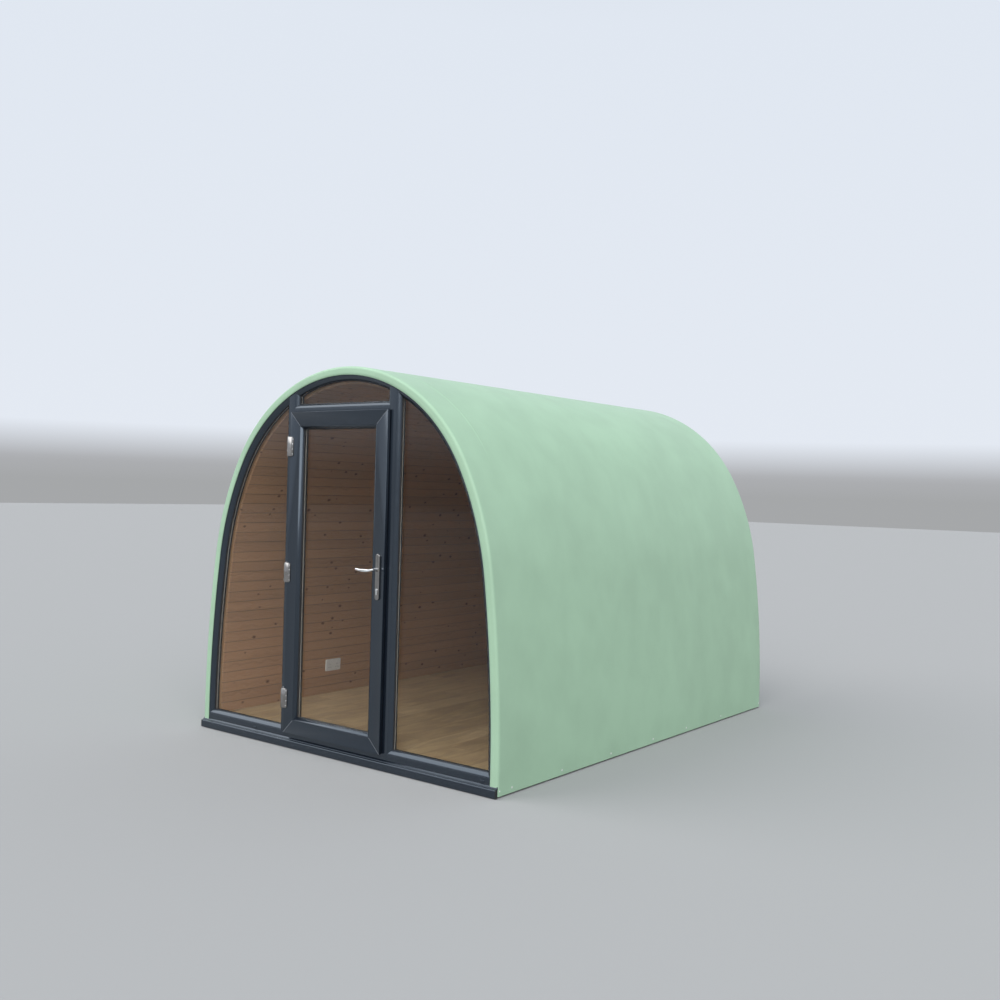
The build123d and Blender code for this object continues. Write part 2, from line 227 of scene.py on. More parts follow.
def relief(tree, shader, height, depth, strength=0.6):
    """A surface relief so many metres deep from a height pattern."""
    dent = add(tree, "Bump", {"Distance": depth, "Strength": strength}, {"Height": height})
    join(tree, (dent, "Normal"), shader, "Normal")


gelcoat_colour = (0.385, 0.570, 0.400)
gelcoat, tree, shader = finish("mint_gelcoat", gelcoat_colour, 0.42, shine=0.3)
patches = clouds(tree, 1.3, detail=2.0)
mottle = clouds(tree, 5.0, (1.0, 1.0, 0.7), detail=4.0)
mixed = maths(tree, "MULTIPLY", maths(tree, "ADD", patches, mottle), 0.5)
coated(tree, shader, shades(tree, mixed, tints(gelcoat_colour, 0.95, 1.05, 0.38, 0.62)),
       spread(tree, patches, 0.39, 0.45))
relief(tree, shader, clouds(tree, 8.0, detail=3.0), 0.004, 0.5)

# The skin's stations from front to back stand closer together at the laps.
lap_front, lap_back, lap_run, lap_reach = 235.0, length - 122.0, 7.0, 45.0
lap_stations = lap_run * np.array([-6.0, -3.0, -1.5, -1.0, -0.7, -0.4, -0.1, 0.2, 0.6, 1.2, 2.0, 3.0, 5.0])
even_run = np.linspace(rim_round, length - rim_round, 150)[1:-1]
even_run = even_run[(np.abs(even_run - lap_front) > lap_reach) & (np.abs(even_run - lap_back) > lap_reach)]
run_back = np.sort(np.concatenate([even_run, lap_front + lap_stations, lap_back - lap_stations]))
bend = np.radians(np.linspace(0.0, 90.0, 9))


def skin_profile(radius, lip):
    """Depths and distances behind the front rim along one face of the skin. At each end the lip comes out from the
    rim's width, then a quarter circle of the radius about the rim's centre turns it to run straight back."""
    end_depth = np.concatenate([[rim_width, rim_width - 1.0, lip_flat], rim_round - radius * np.sin(bend)])
    end_behind = np.concatenate([lip, rim_round - radius * np.cos(bend)])
    return (np.concatenate([end_depth, np.full_like(run_back, rim_round - radius), end_depth[::-1]]),
            np.concatenate([end_behind, run_back, length - end_behind[::-1]]))


def skin_sunk(path, behind):
    """How far the outer face lies under its drawn line. A lap is a step: 2 mm down before it over 7 mm, then a
    faint hollow past it, in full near the crown and hardly on the sides. The unevenness is the mean of nine plane
    waves of random way, length and start, which dies out towards the two rims."""
    past_lap = np.minimum(behind - lap_front, lap_back - behind)
    lap = np.interp(past_lap, [-110.0, -40.0, -lap_run, 0.0, 4.0, 14.0, 35.0], [0.5, 2.0, 2.0, 0.0, 0.0, 0.4, 0.5])
    near_crown = np.clip((path[:, 1:] - 1750.0) / 350.0, 0.12, 1.0)
    draws = np.random.default_rng(11)
    way, wave, start = (draws.uniform(low, high, 9) for low, high in ((0, np.pi), (170.0, 520.0), (0, 2 * np.pi)))
    phase = behind[..., None] * np.cos(way) + run_along(path)[:, None, None] * np.sin(way)
    waves = np.sin(2 * np.pi * phase / wave + start).mean(-1)
    calm = np.clip((behind - rim_round) / 120.0, 0, 1) * np.clip((length - rim_round - behind) / 120.0, 0, 1)
    return 0.3 + near_crown * lap + (1.0 - near_crown) * 0.5 + 0.7 * calm * (waves + 1.0)


path, inward = arch_line(shell_lift, 26.0)
line_depth, line_behind = skin_profile(rim_round, [1.0, 0.0, 0.0])
outside = carried(path, inward, line_depth[None, :] + skin_sunk(path, line_behind[None, :]), line_behind)
under = carried(path, inward, *skin_profile(rim_round - skin, [skin, skin, skin]))
shell_rings = np.concatenate([outside, under[:, ::-1]], axis=1)
across = shell_rings.shape[1]
step = np.arange(line_depth.size - 1)
foot = np.stack([step, step + 1, across - 2 - step, across - 1 - step], 1)
shell_faces = np.concatenate([ring_faces(shell_rings), foot, (len(path) - 1) * across + foot]).tolist()
shell = piece("moulded_shell", [shell_rings], "building", gelcoat, faces=shell_faces, sharp=60.0)
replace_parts(shell, "outer_skin")
dress("back_skin", gelcoat)

# Foot fixings. Stainless screws through the shell into the bottom rail of the wall, each under a small white nylon
# cap, at the spacing seen along the foot.
fixing_runs = (21.0, 131.0, 615.0, 1157.0, 1686.0, 2152.0, 2693.0, 3358.0)
fixing_level, cap_radius, cap_rise = 38.0, 7.0, 2.6
nylon, tree, shader = finish("white_nylon", (0.80, 0.80, 0.78), 0.35)
coated(tree, shader, shades(tree, clouds(tree, 300.0), ((0.3, (0.70, 0.70, 0.67)), (0.7, (0.84, 0.84, 0.82)))))


def stacked(flat, rise):
    """Flat rings given a third coordinate: ring i lies at rise i."""
    rise = np.broadcast_to(np.asarray(rise, float)[:, None, None], flat.shape[:2] + (1,))
    return np.concatenate([flat, rise], -1)


def turned(radius, rise, sides):
    """A turned solid as rings of points: ring i has radius i at rise i, spread evenly round the full circle."""
    circle = heading(np.linspace(0, 2 * np.pi, sides, endpoint=False))
    return stacked(circle[None] * np.asarray(radius)[:, None, None], rise)


def copies(places, *solids):
    """Each solid moved to each of the places."""
    return [rings + place for rings in solids for place in places]


dome = np.radians(np.linspace(0.0, 80.0, 6))
button = turned([cap_radius, *(cap_radius * np.cos(dome))], [-2.0, *(cap_rise * np.sin(dome))], 20)
places = np.array([(0.0, front + run, fixing_level) for run in fixing_runs])
for side, name in ((1, "right"), (-1, "left")):
    rings = np.stack([side * (half_width - cap_rise + button[..., 2]), button[..., 0], button[..., 1]], -1)
    piece(f"foot_fixings_{name}", copies(places, rings), "building", nylon)

# Base and insulated panels. Treated bearers carry an insulated floor panel. The walls and roof are foam-cored
# panels between the shell and the lining, glued and screwed together, and hardly seen once the pod is closed.
timber, tree, shader = finish("treated_timber", (0.30, 0.27, 0.16), 0.75)
grain = clouds(tree, 30.0, (1.0, 0.05, 1.0), detail=6.0)
coated(tree, shader, shades(tree, grain, ((0.3, (0.20, 0.18, 0.10)), (0.7, (0.36, 0.32, 0.20)))))
relief(tree, shader, grain, 0.001)
dress("base_bearers", timber)
foam, tree, shader = finish("foam_panel", (0.72, 0.64, 0.42), 0.85)
cells = clouds(tree, 220.0, detail=4.0)
coated(tree, shader, shades(tree, cells, ((0.35, (0.62, 0.54, 0.34)), (0.65, (0.78, 0.71, 0.50)))))
relief(tree, shader, cells, 0.0008)
dress("floor_panel back_wall wall_left wall_right haunch_left haunch_right", foam)
dress("roof_side_left roof_side_right roof_top_left roof_top_right", foam)

# Floor finish. Laminate boards 190 mm wide clicked together along the room with staggered ends, a pale streaky oak
# print under a satin wear layer.
laminate, tree, shader = finish("floor_laminate", (0.42, 0.33, 0.22), 0.38)
place = (add(tree, "TexCoord"), "Object")
along_room = add(tree, "Mapping", {"Rotation": (0.0, 0.0, np.pi / 2)}, {"Vector": place})
planks = add(tree, "TexBrick", {"Scale": 1.0, "Brick Width": 1.28, "Row Height": 0.19, "Mortar Size": 0.002,
                                "Mortar Smooth": 0.3, "Bias": 0.0, "Color1": (0.35, 0.35, 0.35, 1.0),
                                "Color2": (0.65, 0.65, 0.65, 1.0), "Mortar": (0.0, 0.0, 0.0, 1.0)},
             {"Vector": (along_room, "Vector")}, offset=0.37)
own_print = add(tree, "VectorMath", {1: (0.0, 0.0, 40.0)}, {0: (planks, "Color")}, operation="MULTIPLY")
printed = add(tree, "VectorMath", {}, {0: place, 1: (own_print, "Vector")}, operation="ADD")
figure = clouds(tree, 7.0, (2.0, 0.4, 1.0), detail=7.0, source=(printed, "Vector"), distortion=1.1)
blend = add(tree, "Mix", {"Factor": 0.42}, {"A": figure, "B": (planks, "Color")})
oak = shades(tree, (blend, "Result"), ((0.05, (0.08, 0.050, 0.028)), (0.38, (0.32, 0.210, 0.112)),
                                       (0.52, (0.48, 0.335, 0.185)), (0.66, (0.62, 0.450, 0.268))))
coated(tree, shader, oak, spread(tree, figure, 0.30, 0.46))
relief(tree, shader, (planks, "Color"), 0.0006, 0.5)
dress("floor_finish", laminate)

# Lining. Tongue and groove pine boards, 68 mm cover and 12 mm thick with a V joint, nailed along the room on the
# walls and ceiling and across the back wall, knotty and lightly varnished, with painted shade along each V joint.
board_cover, groove_depth, groove_half = 68.0, 3.2, 3.0
lining_outer, lining_inner, lining_end, wall_end = 88.0, 100.0, 3279.0, 3291.0
frame_face, frame_back, floor_panel_top = 5.0, 75.0, 92.0
pine, tree, shader = finish("pine_boards", (0.55, 0.38, 0.24), 0.42)
lengthwise = (add(tree, "UVMap", uv_map="boards"), "UV")
upwards = (add(tree, "SeparateXYZ", {}, {"Vector": lengthwise}), "Y")
covers = maths(tree, "MULTIPLY", upwards, 1000.0 / board_cover)
chance = (add(tree, "TexWhiteNoise", {}, {"W": maths(tree, "FLOOR", covers)}, noise_dimensions="1D"), "Value")
shift = maths(tree, "MULTIPLY", chance, 37.0)
moved = add(tree, "CombineXYZ", {}, {"X": shift, "Z": shift})
own = (add(tree, "VectorMath", {}, {0: lengthwise, 1: (moved, "Vector")}, operation="ADD"), "Vector")
knot_cells = add(tree, "Mapping", {"Scale": (9.5, 14.7, 1.0)}, {"Vector": own})
knots = add(tree, "TexVoronoi", {"Scale": 1.0, "Randomness": 0.75}, {"Vector": (knot_cells, "Vector")},
            voronoi_dimensions="2D")
size = (add(tree, "TexWhiteNoise", {}, {"Vector": (knots, "Color")}, noise_dimensions="3D"), "Value")
swell = spread(tree, (knots, "Distance"), 1.0, 0.0, 0.03, 0.55)
lifted = add(tree, "CombineXYZ", {}, {"Y": maths(tree, "MULTIPLY", swell, 0.022)})
flow = add(tree, "VectorMath", {}, {0: own, 1: (lifted, "Vector")}, operation="ADD")
growth = clouds(tree, 1.0, (1.1, 70.0, 1.0), detail=4.0, source=(flow, "Vector"), distortion=0.25)
wood = shades(tree, growth, ((0.28, (0.310, 0.162, 0.082)), (0.45, (0.368, 0.195, 0.099)),
                             (0.62, (0.396, 0.214, 0.112)), (0.78, (0.338, 0.179, 0.091))))
# Painted shade along the V joints: each board's colour darkens to 0.42 of itself at its two edges, on top of the
# grooves' own shade.
off_middle = maths(tree, "ABSOLUTE", maths(tree, "SUBTRACT", maths(tree, "FRACT", covers), 0.5))
painted_joint_shade = spread(tree, off_middle, 1.0, 0.42, 0.46, 0.49)
varied = spread(tree, chance, 0.91, 1.06, 0.0, 1.0)
tone_and_joint_shade = add(tree, "VectorMath", {}, {0: wood, "Scale": maths(tree, "MULTIPLY", painted_joint_shade, varied)}, operation="SCALE")
knot_reach = spread(tree, size, 0.05, 0.17, 0.80, 1.0)
core = spread(tree, maths(tree, "DIVIDE", (knots, "Distance"), knot_reach), 1.0, 0.0, 0.55, 1.25)
dark = maths(tree, "MULTIPLY", core, maths(tree, "GREATER_THAN", size, 0.80))
knotty = add(tree, "Mix", {7: (0.13, 0.055, 0.025, 1.0)}, {0: dark, 6: (tone_and_joint_shade, "Vector")}, data_type="RGBA")
coated(tree, shader, (knotty, 2), spread(tree, growth, 0.36, 0.50))
relief(tree, shader, growth, 0.0006, 0.4)

arch_points, arch_normals = arch_line(60.0, 6.0)
room_line = arch_points + arch_normals * lining_inner
run = run_along(room_line)
middle = len(run) // 2
run_start = np.interp(floor_panel_top, room_line[:middle, 1], run[:middle])
board_count = int(round((run[-1] - 2 * run_start) / board_cover))
fitted_cover = (run[-1] - 2 * run_start) / board_count
station_share = np.array([0.0, groove_half, 19.0, 34.0, 49.0, board_cover - groove_half]) / board_cover
station_sunk = np.array([groove_depth, 0.0, 0.0, 0.0, 0.0, 0.0])


def board_stations(first, last):
    """Places across boards first to last, counted in boards, and how far the V joint sinks the face at each."""
    number = np.arange(first, last)[:, None]
    share = np.concatenate([(number + station_share).ravel(), [float(last)]])
    sunk = np.concatenate([np.tile(station_sunk, last - first), [groove_depth]])
    return share, sunk


def wall_boards(name, first, last):
    """Boards carried along the arch's room line: station i sits at its run on the line, sunk at the joints,
    and a ring of four corners there makes a board's front, back and thickness."""
    share, sunk = board_stations(first, last)
    place = run_start + share * fitted_cover
    x, z = (np.interp(place, run, arch_points[:, k]) for k in (0, 1))
    nx, nz = (np.interp(place, run, arch_normals[:, k]) for k in (0, 1))
    depth = np.stack([lining_inner - sunk, lining_inner - sunk] + [np.full_like(sunk, lining_outer)] * 2, 1)
    behind = np.broadcast_to([frame_back, lining_end, lining_end, frame_back], depth.shape)
    spots = np.stack([x[:, None] + nx[:, None] * depth, front + behind, z[:, None] + nz[:, None] * depth], -1)
    uv = np.stack([behind, np.broadcast_to(share[:, None] * board_cover, depth.shape)], -1)
    return piece(name, [spots], "building", pine, uv=uv, sharp=20.0)


shoulder_run = np.interp(shoulder_angle, np.arccos(-arch_normals[:middle, 0]), run[:middle])
ceiling_first = int(round((shoulder_run - run_start) / fitted_cover))
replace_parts(wall_boards("boards_right", 0, ceiling_first), "lining_right")
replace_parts(wall_boards("boards_ceiling", ceiling_first, board_count - ceiling_first), "ceiling_lining")
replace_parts(wall_boards("boards_left", board_count - ceiling_first, board_count), "lining_left")

back_count, under_crown, back_edge = 32, 96.0, 93.0
share, sunk = board_stations(0, back_count)
level = np.minimum(floor_panel_top + share * board_cover, crown_top - under_crown)
edge_line = arch_points[:middle] + arch_normals[:middle] * back_edge
reach = np.interp(level, edge_line[:, 1], edge_line[:, 0])
flat_x = reach[:, None] * np.array([-1.0, 1.0, 1.0, -1.0])
flat_y = np.stack([lining_end + sunk, lining_end + sunk] + [np.full_like(sunk, wall_end)] * 2, 1)
spots = np.stack([flat_x, front + flat_y, np.broadcast_to(level[:, None], flat_x.shape)], -1)
own_wood = np.array([9000.0, 40 * board_cover])
uv = np.stack([flat_x, np.broadcast_to(share[:, None] * board_cover, flat_x.shape)], -1) + own_wood
back_boards = piece("boards_back", [spots], "building", pine, uv=uv, sharp=20.0)
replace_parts(back_boards, "back_lining")

# Double socket. A white moulded faceplate screwed to a box in the left wall, with two switched outlets side by
# side, each with one upright and two level pin slots under a rocker switch.
socket_back, socket_level, socket_width, socket_height = 1085.0, 310.0, 146.0, 86.0
outlet_apart, switch_apart, white_colour = 36.0, 28.0, (0.65, 0.62, 0.60)
white, tree, shader = finish("white_faceplate", white_colour, 0.30)
coated(tree, shader, shades(tree, clouds(tree, 60.0), tints(white_colour, 0.96, 1.03)))
black, tree, shader = finish("black_rubber_and_slot_shade", (0.012, 0.012, 0.013), 0.55)
coated(tree, shader, shades(tree, clouds(tree, 90.0), ((0.4, (0.008, 0.008, 0.009)), (0.8, (0.020, 0.020, 0.021)))))


def pad(width, height, radius, inset, rise, steps=6):
    """A plate with a worked edge, as rings: the outline is a rounded rectangle, four quarter circles joined by
    straights, and ring i is that outline moved in by inset i at rise i. The radius is one number, or four from
    the upper right corner round to the lower right."""
    radius = np.broadcast_to(np.asarray(radius, float), 4)[:, None]
    normal = heading(np.radians(np.linspace(0, 90, steps))[None, :] + np.radians([0, 90, 180, 270])[:, None])
    corner = np.array([[1, 1], [-1, 1], [-1, -1], [1, -1]]) * (np.array([width, height]) / 2 - radius)
    outline = (corner[:, None] + radius[..., None] * normal).reshape(-1, 2)
    return stacked(outline - normal.reshape(-1, 2) * np.asarray(inset, float)[:, None, None], rise)


wall_turn = (socket_level - spring) / side_radius
wall_spot = side_centre + heading(wall_turn) * (side_radius - lining_inner)
into_room, up_wall = heading(-wall_turn), np.array([np.sin(wall_turn), np.cos(wall_turn)])


def on_wall(local):
    """Turns (along the wall, up the wall, out of it) into the frame, at the socket's place on the left wall."""
    flat = np.array([-wall_spot[0], wall_spot[1]]) + local[..., 1:2] * up_wall + local[..., 2:3] * into_room
    return np.stack([flat[..., 0], front + socket_back + local[..., 0], flat[..., 1]], -1)


faceplate = pad(socket_width, socket_height, 7.0, [0.0, 0.0, 0.6, 2.2, 3.4], [0.2, 6.4, 8.2, 9.2, 9.4])
made = piece("socket_faceplate", [on_wall(faceplate)], "building", white)
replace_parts(made, "double_socket")
rocker = pad(11.0, 19.0, 1.5, [0.0, 0.0, 1.0], [8.0, 10.4, 11.4], 3)
switches = copies([(-switch_apart, 24.0, 0.0), (switch_apart, 24.0, 0.0)], rocker)
piece("socket_switches", [on_wall(rings) for rings in switches], "building", white)
# The pin slots are thin black pads on the faceplate: painted shade standing in for the openings.
upright_slot_shade = pad(4.4, 8.2, 0.8, [0.0, 0.0], [8.6, 9.7], 3)
level_slot_shade = pad(7.0, 4.2, 0.8, [0.0, 0.0], [8.6, 9.7], 3)
pin_slot_shades = [rings + [x, z, 0.0] for rings, x, z in ((upright_slot_shade, 0.0, 6.0), (level_slot_shade, -11.0, -16.0),
                                                 (level_slot_shade, 11.0, -16.0))]
outlets = copies([(-outlet_apart, 0.0, 0.0), (outlet_apart, 0.0, 0.0)], *pin_slot_shades)
piece("socket_slot_shades", [on_wall(rings) for rings in outlets], "building", black)

# Front frame. Plastic window profile, foiled anthracite outside and in, bent round the arch and welded to a bottom
# rail, with two mullions and a transom screwed in. Each side towards glass has a shallow moulded bead.
foil_colour = (0.006, 0.009, 0.015)
bead_width, face_width, frame_inner, frame_outer, stop_width = 26.0, 48.0, 58.0, 6.0, 20.0
frame_bottom, rail_face, over_door, transom_face = 63.0, 37.0, 274.8, 29.0
opening_left, opening_right, flange, flange_lap = -428.0, 389.0, 28.0, 8.0
rail_top, stop_face = frame_bottom + rail_face, frame_back - stop_width
transom_bottom = crown_top - over_door
transom_top = transom_bottom + transom_face
foil, tree, shader = finish("anthracite_foil", foil_colour, 0.20, shine=1.0)
shader.inputs["Specular Tint"].default_value = (0.74, 0.87, 1.0, 1.0)
sheen = clouds(tree, 14.0, detail=4.0)
coated(tree, shader, shades(tree, sheen, tints(foil_colour, 0.95, 1.06)), spread(tree, sheen, 0.16, 0.21))
relief(tree, shader, clouds(tree, 900.0, detail=1.0), 0.00002, 0.15)


def eased(corners, steps=4):
    """A polygon with rounded corners, given as (across, behind, radius): each corner is a curve from a point a
    radius before it to a point a radius after it, pulled towards the corner."""
    table = np.array(corners, float)
    spot, radius = table[:, :2], table[:, 2]
    before, after = np.roll(spot, 1, 0) - spot, np.roll(spot, -1, 0) - spot
    room = np.minimum(np.linalg.norm(before, axis=1), np.linalg.norm(after, axis=1))
    radius = np.clip(radius, 0.04, 0.48 * room)[:, None]
    start = spot + before / np.linalg.norm(before, axis=1)[:, None] * radius
    end = spot + after / np.linalg.norm(after, axis=1)[:, None] * radius
    t = np.linspace(0, 1, steps)[None, :, None]
    curve = (1 - t) ** 2 * start[:, None] + 2 * t * (1 - t) * spot[:, None] + t ** 2 * end[:, None]
    return curve.reshape(-1, 2)


def shrunk(outline, amount):
    """An outline moved in along its normals, each square to the line between a point's two neighbours."""
    run = np.roll(outline, -1, 0) - np.roll(outline, 1, 0)
    normal = np.stack([run[:, 1], -run[:, 0]], 1) / (np.linalg.norm(run, axis=1)[:, None] + 1e-9)
    x, y = outline.T
    turn = np.sign(np.sum(x * np.roll(y, -1) - np.roll(x, -1) * y))
    return outline - turn * normal * amount


def swept(across, behind, end_across, end_behind, bulge=0.3, count=7):
    """Corners along a shallow curve between two points. It is pulled from their middle, by the share given as the
    bulge, towards the corner that has the first's distance behind and the second's distance across."""
    pull_across = (across + end_across) / 2 + bulge * (end_across - across) / 2
    pull_behind = (behind + end_behind) / 2 - bulge * (end_behind - behind) / 2
    t = np.linspace(0, 1, count)
    across = (1 - t) ** 2 * across + 2 * t * (1 - t) * pull_across + t ** 2 * end_across
    behind = (1 - t) ** 2 * behind + 2 * t * (1 - t) * pull_behind + t ** 2 * end_behind
    return [(a, b, 0.5) for a, b in zip(across, behind)]


def bead(edge, face=frame_face, width=bead_width, fall=19.5, lip=flange):
    """Corners of the moulded bead from a face's edge to the lip at the glass: a fine quirk, then a shallow curve
    that falls back from the face."""
    return [(edge - 0.6, face, 0.5), (edge + 0.4, face + 1.9, 0.3), (edge + 1.8, face + 1.9, 0.3),
            *swept(edge + 2.6, face + 0.8, edge + width, face + fall), (edge + width, lip, 0.0)]


def glazed(edge):
    """Corners from a face's edge over its bead and round the flange that holds the glass, to the frame's back."""
    return [*bead(edge), (edge + flange_lap, flange, 0.0), (edge + flange_lap, frame_back, 1.0)]


def bar_rings(outline, start, end, place, weld=0.0):
    """An outline (across, behind) run from start to end, which may differ at each point of the outline, and put
    in the frame by place(run, across, behind). A weld leaves a fine groove round each end."""
    start = np.broadcast_to(np.asarray(start, float), outline.shape[:1])
    end = np.broadcast_to(np.asarray(end, float), outline.shape[:1])
    runs, lines = [start, end], [outline, outline]
    if weld:
        runs = [start, start + 2 * weld, end - 2 * weld, end]
        lines = [shrunk(outline, weld), outline, outline, shrunk(outline, weld)]
    runs, lines = np.stack(runs), np.stack(lines)
    return place(runs, lines[..., 0], front + lines[..., 1])


def bar(name, outline, start, end, place, stuff=foil):
    """A straight length of the building's plastic profile."""
    return piece(name, [bar_rings(outline, start, end, place)], "building", stuff)


def level_bar(base):
    """Places a bar that runs along x, its outline measured up from a level."""
    return lambda run, across, y: np.stack([run, y, base + across], -1)


def upright_bar(edge, out):
    """Places a bar that runs up, its outline measured from an edge in the direction out."""
    return lambda run, across, y: np.stack([edge + out * across, y, run], -1)


leg_outline = eased([(18.0, frame_face, 0.0), *glazed(frame_inner), (frame_outer, frame_back, 1.0),
                     (frame_outer, rim_round, 0.0)])
frame_path, frame_inward = arch_line(frame_bottom, 22.0)
arch_rings = carried(frame_path, frame_inward, leg_outline[:, 0], leg_outline[:, 1])
arched = piece("arched_frame", [arch_rings], "building", foil)
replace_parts(arched, "arch_frame")


def leg_edge(across, level):
    """x of the arch frame's inner face edge on the right at a level, for an outline point so far past it."""
    line = frame_path + frame_inward * frame_inner
    half = len(line) // 2
    return np.interp(level, line[:half, 1], line[:half, 0]) - across


def under_arch(x, depth):
    """The level at x of the circle that runs so deep inside the crown."""
    return crown_centre[1] + np.sqrt((crown_radius - depth) ** 2 - x ** 2)


# A thin pine batten behind the arched frame closes the gap to the lining.
batten = carried(frame_path, frame_inward, np.array([71.0, 87.6, 87.6, 71.0]), np.array([73.9, 73.9, 74.8, 74.8]))
batten_run = run_along(frame_path)[:, None] + 20000.0
uv = np.stack(np.broadcast_arrays(batten_run, np.array([150.0, 167.0, 168.0, 151.0])), -1)
piece("closing_batten", [batten], "building", pine, uv=uv)

post_left, post_right = opening_left - face_width, opening_right + face_width
rail_outline = eased([(frame_bottom, frame_face, 0.6), *glazed(rail_top), (frame_bottom, frame_back, 1.0)])
coped = np.clip(rail_outline[:, 0] - rail_top, 0, None)
rail_end = leg_edge(coped, rail_outline[:, 0])
rail_left = bar("bottom_rail_left", rail_outline, -rail_end, post_left - coped, level_bar(0.0))
bar("bottom_rail_right", rail_outline, post_right + coped, rail_end, level_bar(0.0))
threshold_outline = eased([(frame_bottom, 5.3, 0.6), (rail_top, 5.3, 1.2), (rail_top, stop_face, 1.0),
                           (rail_top + stop_width, stop_face, 1.5), (rail_top + stop_width, frame_back, 1.5),
                           (frame_bottom, frame_back, 1.0)])
bar("threshold", threshold_outline, post_left, post_right, level_bar(0.0))
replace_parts(rail_left, "bottom_rail")

door_stop = [(-stop_width, frame_back, 1.5), (-stop_width, stop_face, 1.5), (0.0, stop_face, 0.5)]
other_side = [(face_width - across, behind, radius) for across, behind, radius in reversed(bead(face_width))]
low_outline = eased([(0.0, 5.2, 1.5), *glazed(face_width), *door_stop])
high_outline = eased([*other_side, *glazed(face_width), (-flange_lap, frame_back, 1.0), (-flange_lap, flange, 0.0)])
joint_level = transom_bottom + transom_face / 2
for name, edge, out in (("mullion_left", opening_left, -1.0), ("mullion_right", opening_right, 1.0)):
    top = under_arch(edge + out * high_outline[:, 0], rim_width)
    post = bar(name + "_post", low_outline, frame_bottom + 1.0, joint_level, upright_bar(edge, out))
    bar(name + "_head", high_outline, joint_level, top, upright_bar(edge, out))
    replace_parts(post, name)
head_outline = eased([(0.0, 5.1, 1.2), *glazed(transom_face), *door_stop])
head_cope = np.clip(head_outline[:, 0] - transom_face, 0, None)
head = bar("transom_head", head_outline, opening_left + head_cope, opening_right - head_cope,
           level_bar(transom_bottom))
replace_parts(head, "transom")

# Glazing lines. Black rubber gaskets hold each sealed unit against the outer beads, black sealant fills the front
# of the spacer between its panes, and sloping beads are clipped in behind it.
leg_core, into_frame = leg_edge(12.0, rail_top), 20.0


def round_lights(name, corners, stuff):
    """One outline, measured from a face's edge, carried round all three fixed lights: the arch, the bottom rail on
    both sides, the transom, and both faces of each mullion."""
    outline = eased(corners)
    left, right = opening_left - into_frame, opening_right + into_frame
    lines = [carried(frame_path, frame_inward, frame_inner + outline[:, 0], outline[:, 1]),
             bar_rings(outline, -leg_core, left, level_bar(rail_top)),
             bar_rings(outline, right, leg_core, level_bar(rail_top)),
             bar_rings(outline, left, right, level_bar(transom_top))]
    for edge, out in ((opening_left, -1.0), (opening_right, 1.0)):
        outer = edge + out * face_width
        lines += [bar_rings(outline, rail_top, under_arch(outer + out * 27.0, 68.0), upright_bar(outer, out)),
                  bar_rings(outline, transom_top, under_arch(edge, 68.0), upright_bar(edge, -out))]
    return piece(name, lines, "building", stuff)


round_lights("gaskets", [(22.0, 24.5, 0.0), (29.0, 26.2, 0.6), (30.0, 27.9, 0.0), (22.0, 27.9, 0.0)], black)
round_lights("unit_sealant", [(15.0, 32.1, 0.0), (22.6, 32.1, 0.0), (22.6, 43.5, 0.3), (15.0, 43.5, 0.0)], black)
inner_beads = round_lights("sloped_beads", [(8.0, 56.2, 0.0), (26.0, 56.2, 0.5), (25.0, 59.5, 1.0),
                                            (12.0, 74.6, 1.5), (8.0, 74.6, 0.5)], foil)
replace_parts(inner_beads, "inner_beads")

# Cill. A hollow grey plastic profile with a rounded nose, clipped under the bottom rail and closed by a black cap
# at each end.
cill_nose, cill_nose_top, cill_bottom, cap_length, bearer_height = -18.0, 48.0, 4.0, 4.0, 45.0
cill_outline = eased([(cill_bottom, cill_nose, 1.5), (cill_nose_top, cill_nose, 4.5), (52.0, -4.4, 1.5),
                      (56.0, -4.4, 1.6), (57.0, -2.4, 1.0), (frame_bottom, frame_face, 1.0),
                      (frame_bottom, frame_back, 1.0), (bearer_height, frame_back, 1.0), (bearer_height, skin, 0.0),
                      (cill_bottom, skin, 1.0)])
cill = bar("front_cill", cill_outline, cap_length - half_width, half_width - cap_length, level_bar(0.0))
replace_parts(cill, "cill")
cap_outline = eased([(cill_bottom, cill_nose, 1.5), (cill_nose_top, cill_nose, 4.0), (cill_nose_top, -1.0, 2.0),
                     (cill_bottom, -1.0, 1.5)])
cap_right = bar("cill_cap_right", cap_outline, half_width - cap_length, half_width, level_bar(0.0), black)
bar("cill_cap_left", cap_outline, -half_width, cap_length - half_width, level_bar(0.0), black)
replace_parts(cap_right, "cill_end_caps")


# Drain caps. Two small moulded hoods snap into slots in the bottom rail and keep wind out of the drain holes.
def facing(rings, x, z, base):
    """Turns (across, up, out) into the frame, at (x, z) and standing out to the front from the distance base
    behind the rim."""
    return np.stack([x + rings[..., 0], front + base - rings[..., 2], z + rings[..., 1]], -1)


drain_level, drain_places = 77.0, ((-727.0, 0.0, 0.0), (1140.0, 0.0, 0.0))
hood = facing(pad(30.0, 13.0, 3.0, [0.0, 0.0, 1.0, 3.0], [-1.0, 1.6, 3.0, 3.6]), 0.0, drain_level, frame_face)
piece("drain_caps", copies(drain_places, hood), "building", foil)

# Door leaf. The same plastic profile in a wider section, four lengths mitred and welded, with a groove left where
# each weld was trimmed, and a thin lip that laps over the frame.
leaf_overlap, leaf_gap, leaf_front, leaf_back = 6.0, 8.0, -20.0, 50.0
leaf_face, leaf_bead, leaf_rebate, lip_back = 87.0, 20.0, 16.0, 0.0
leaf_left, leaf_right = opening_left - leaf_overlap, opening_right + leaf_overlap
leaf_base, leaf_top = rail_top - leaf_overlap, transom_bottom + leaf_overlap
leaf_middle = (leaf_base + leaf_top) / 2
sight, leaf_core = leaf_face + leaf_bead, leaf_overlap + leaf_gap
sash_outline = eased([(0.0, leaf_front, 3.0), *bead(leaf_face, leaf_front, leaf_bead, 17.0, lip_back),
                      (sight - leaf_rebate, lip_back, 0.0), (sight - leaf_rebate, leaf_back, 1.0),
                      (leaf_core, leaf_back, 1.0), (leaf_core, lip_back, 0.0), (0.0, lip_back, 0.8)])


